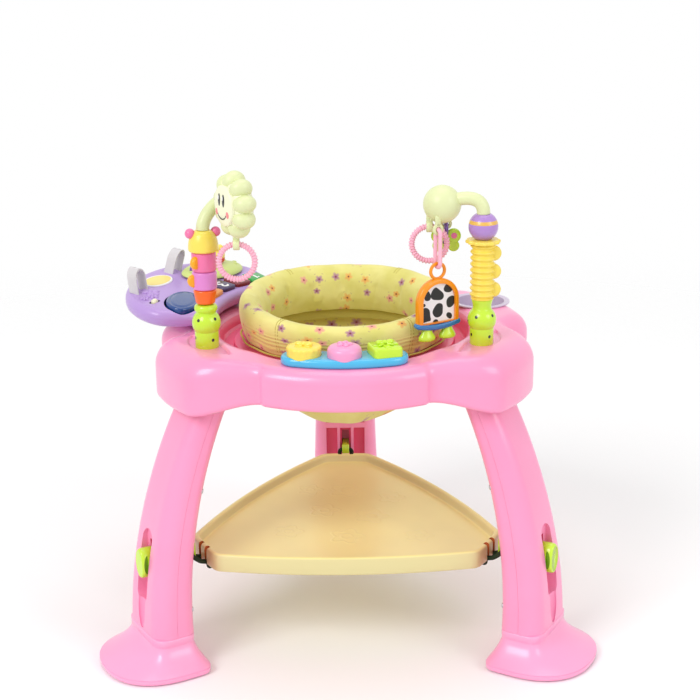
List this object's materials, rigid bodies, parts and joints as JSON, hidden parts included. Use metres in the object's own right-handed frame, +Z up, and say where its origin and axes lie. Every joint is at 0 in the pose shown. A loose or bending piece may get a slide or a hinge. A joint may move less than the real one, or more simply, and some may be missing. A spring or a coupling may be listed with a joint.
{
  "type": "baby jumper",
  "caption": "Three-legged baby activity jumper: play tray with turning padded seat, hanging bounce floor on height knobs, toy posts, push buttons and a clip-on keyboard.",
  "frame": {"origin": "on the floor under the middle of the stand", "axes": "+Z up, -Y towards the front with the push buttons, +X to the right of a viewer in front"},
  "size_m": [0.7418, 0.6634, 0.7281],
  "materials": {
    "pink_plastic": "glossy moulded pink",
    "pink_shade_plastic": "satin deeper pink",
    "pad_rubber": "matt grip rubber",
    "screw_steel": "plated",
    "lime_plastic": "glossy lime",
    "cream_plastic": "satin cream",
    "bungee_cord": "woven elastic cord",
    "seat_cloth": "printed padded cloth",
    "blue_plastic": "glossy sky blue",
    "board_plastic": "matt board",
    "yellow_plastic": "glossy yellow",
    "rose_plastic": "glossy rose",
    "pale_plastic": "satin pale green",
    "orange_plastic": "glossy orange",
    "mauve_plastic": "glossy mauve",
    "soft_pink": "satin soft pink",
    "purple_plastic": "glossy purple",
    "white_plastic": "glossy white with dark spots",
    "deep_blue_plastic": "glossy deep blue",
    "lilac_plastic": "satin lilac",
    "red_plastic": "glossy dark red",
    "green_plastic": "glossy green",
    "strap_webbing": "woven webbing"
  },
  "bodies": {
    "frame": {"tray_top": "pink_plastic", "tray_bottom": "pink_shade_plastic", "seat_track": "pink_shade_plastic", "leg_left": "pink_plastic", "leg_right": "pink_plastic", "leg_rear": "pink_plastic", "leg_cover_left": "pink_shade_plastic", "leg_cover_right": "pink_shade_plastic", "leg_cover_rear": "pink_shade_plastic", "foot_left": "pink_plastic", "foot_right": "pink_plastic", "foot_rear": "pink_plastic", "foot_pads": "pad_rubber", "cover_screws": "screw_steel", "button_panel": "blue_plastic", "contact_board": "board_plastic", "post_base_left": "lime_plastic", "stalk_left": "pale_plastic", "flower": "pale_plastic", "post_base_right": "lime_plastic", "stalk_right": "pale_plastic"},
    "seat": {"seat_hoop": "pink_shade_plastic", "seat_bucket": "seat_cloth", "seat_collar": "seat_cloth"},
    "knob_left": {"height_knob_left": "lime_plastic", "bungees": "bungee_cord"},
    "knob_right": {"height_knob_right": "lime_plastic"},
    "knob_rear": {"height_knob_rear": "lime_plastic"},
    "bounce_floor": {"platform": "cream_plastic"},
    "cake": {"cake_button": "yellow_plastic"},
    "dome": {"dome_button": "rose_plastic"},
    "gift": {"gift_button": "lime_plastic"},
    "orange": {"bead_orange": "orange_plastic"},
    "mauve": {"bead_mauve": "mauve_plastic"},
    "pink": {"bead_pink": "rose_plastic"},
    "head": {"bead_head": "yellow_plastic"},
    "left_ring": {"ring_left": "soft_pink"},
    "spring_toy": {"bellows": "yellow_plastic"},
    "ball": {"striped_ball": "purple_plastic"},
    "right_ring": {"ring_right": "soft_pink"},
    "link": {"chain_link": "soft_pink"},
    "mirror": {"mirror_arch": "orange_plastic", "mirror_face": "white_plastic", "mirror_bar": "deep_blue_plastic", "mirror_feet": "lime_plastic"},
    "butterfly": {"charm": "lime_plastic"},
    "bowl": {"snack_bowl": "lilac_plastic"},
    "piano": {"piano_base": "lilac_plastic", "piano_top": "lilac_plastic", "hill": "pale_plastic", "strap_loops": "strap_webbing", "battery_door": "lilac_plastic"},
    "drum": {"drum_key": "deep_blue_plastic"},
    "purple_key": {"key_purple": "purple_plastic"},
    "red_key": {"key_red": "red_plastic"},
    "green_key": {"key_green": "green_plastic"},
    "orange_key": {"key_orange": "orange_plastic"},
    "switch": {"slide_switch": "cream_plastic"},
    "cone": {"hill_cone": "purple_plastic"},
    "chick": {"hill_chick": "yellow_plastic"}
  },
  "joints": [
    {"name": "seat_turn", "type": "hinge", "parent": "frame", "child": "seat", "pos_m": [0, -0.08027, 0.4497], "axis": [0, 0, 1], "continuous": true},
    {"name": "knob_left_height", "type": "slide", "parent": "frame", "child": "knob_left", "axis": [0, 0, 1], "range_m": [-0.035, 0.025]},
    {"name": "knob_right_height", "type": "slide", "parent": "frame", "child": "knob_right", "axis": [0, 0, 1], "range_m": [-0.035, 0.025]},
    {"name": "knob_rear_height", "type": "slide", "parent": "frame", "child": "knob_rear", "axis": [0, 0, 1], "range_m": [-0.035, 0.025]},
    {"name": "floor_bounce", "type": "slide", "parent": "knob_left", "child": "bounce_floor", "axis": [0, 0, 1], "range_m": [-0.02, 0.005], "stiffness_N_per_m": 4000, "springref_m": 0.004, "deforming": ["bungees"]},
    {"name": "cake_push", "type": "slide", "parent": "frame", "child": "cake", "axis": [0, 0, -1], "range_m": [0, 0.004], "stiffness_N_per_m": 600, "springref_m": -0.002},
    {"name": "dome_push", "type": "slide", "parent": "frame", "child": "dome", "axis": [0, 0, -1], "range_m": [0, 0.004], "stiffness_N_per_m": 600, "springref_m": -0.002},
    {"name": "gift_push", "type": "slide", "parent": "frame", "child": "gift", "axis": [0, 0, -1], "range_m": [0, 0.004], "stiffness_N_per_m": 600, "springref_m": -0.002},
    {"name": "bead_orange_spin", "type": "hinge", "parent": "frame", "child": "orange", "pos_m": [-0.19659, -0.19377, 0.53533], "axis": [0, 0, 1], "continuous": true},
    {"name": "bead_mauve_spin", "type": "hinge", "parent": "frame", "child": "mauve", "pos_m": [-0.19659, -0.19377, 0.55663], "axis": [0, 0, 1], "continuous": true},
    {"name": "bead_pink_spin", "type": "hinge", "parent": "frame", "child": "pink", "pos_m": [-0.19659, -0.19377, 0.58293], "axis": [0, 0, 1], "continuous": true},
    {"name": "bead_head_spin", "type": "hinge", "parent": "frame", "child": "head", "pos_m": [-0.19659, -0.19377, 0.61123], "axis": [0, 0, 1], "continuous": true},
    {"name": "ring_left_swing", "type": "hinge", "parent": "frame", "child": "left_ring", "pos_m": [-0.14759, -0.22577, 0.62772], "axis": [1, 0, 0], "range_deg": [-25, 20]},
    {"name": "bellows_spin", "type": "hinge", "parent": "frame", "child": "spring_toy", "pos_m": [0.19659, -0.19377, 0.53733], "axis": [0, 0, 1], "continuous": true},
    {"name": "ball_spin", "type": "hinge", "parent": "frame", "child": "ball", "pos_m": [0.19659, -0.19377, 0.64148], "axis": [0, 0, 1], "continuous": true},
    {"name": "ring_right_swing", "type": "hinge", "parent": "frame", "child": "right_ring", "pos_m": [0.12196, -0.17842, 0.63933], "axis": [1, 0, 0], "range_deg": [-6, 6]},
    {"name": "link_swing", "type": "hinge", "parent": "frame", "child": "link", "pos_m": [0.13254, -0.20075, 0.63933], "axis": [-0.5, 0.866, 0], "range_deg": [-4, 4]},
    {"name": "mirror_swing", "type": "hinge", "parent": "link", "child": "mirror", "pos_m": [0.13254, -0.20075, 0.57993], "axis": [-0.5, 0.866, 0], "range_deg": [-5, 4]},
    {"name": "charm_swing", "type": "hinge", "parent": "frame", "child": "butterfly", "pos_m": [0.14664, -0.1615, 0.63933], "axis": [0, 1, 0], "range_deg": [-12, 12]},
    {"name": "bowl_lift", "type": "slide", "parent": "frame", "child": "bowl", "axis": [0, 0, 1], "range_m": [0, 0.06]},
    {"name": "piano_lift", "type": "slide", "parent": "frame", "child": "piano", "axis": [0, 0, 1], "range_m": [0, 0.06]},
    {"name": "drum_push", "type": "slide", "parent": "piano", "child": "drum", "axis": [-0.1261, 0.0588, -0.9903], "range_m": [0, 0.003], "stiffness_N_per_m": 800, "springref_m": -0.002},
    {"name": "key_purple_push", "type": "slide", "parent": "piano", "child": "purple_key", "axis": [-0.1261, 0.0588, -0.9903], "range_m": [0, 0.003], "stiffness_N_per_m": 600, "springref_m": -0.002},
    {"name": "key_red_push", "type": "slide", "parent": "piano", "child": "red_key", "axis": [-0.1261, 0.0588, -0.9903], "range_m": [0, 0.003], "stiffness_N_per_m": 600, "springref_m": -0.002},
    {"name": "key_green_push", "type": "slide", "parent": "piano", "child": "green_key", "axis": [-0.1261, 0.0588, -0.9903], "range_m": [0, 0.003], "stiffness_N_per_m": 600, "springref_m": -0.002},
    {"name": "key_orange_push", "type": "slide", "parent": "piano", "child": "orange_key", "axis": [-0.1261, 0.0588, -0.9903], "range_m": [0, 0.003], "stiffness_N_per_m": 600, "springref_m": -0.002},
    {"name": "switch_slide", "type": "slide", "parent": "piano", "child": "switch", "axis": [-0.4226, -0.9063, 0], "range_m": [-0.006, 0.006]},
    {"name": "cone_spin", "type": "hinge", "parent": "piano", "child": "cone", "pos_m": [-0.21801, 0.08207, 0.52175], "axis": [0.1261, -0.0588, 0.9903], "continuous": true},
    {"name": "chick_spin", "type": "hinge", "parent": "piano", "child": "chick", "pos_m": [-0.20364, 0.11289, 0.52175], "axis": [0.1261, -0.0588, 0.9903], "continuous": true}
  ],
  "couplings": [
    {"joint": "knob_right_height", "follows": "knob_left_height", "ratio": 1},
    {"joint": "knob_rear_height", "follows": "knob_left_height", "ratio": 1}
  ]
}
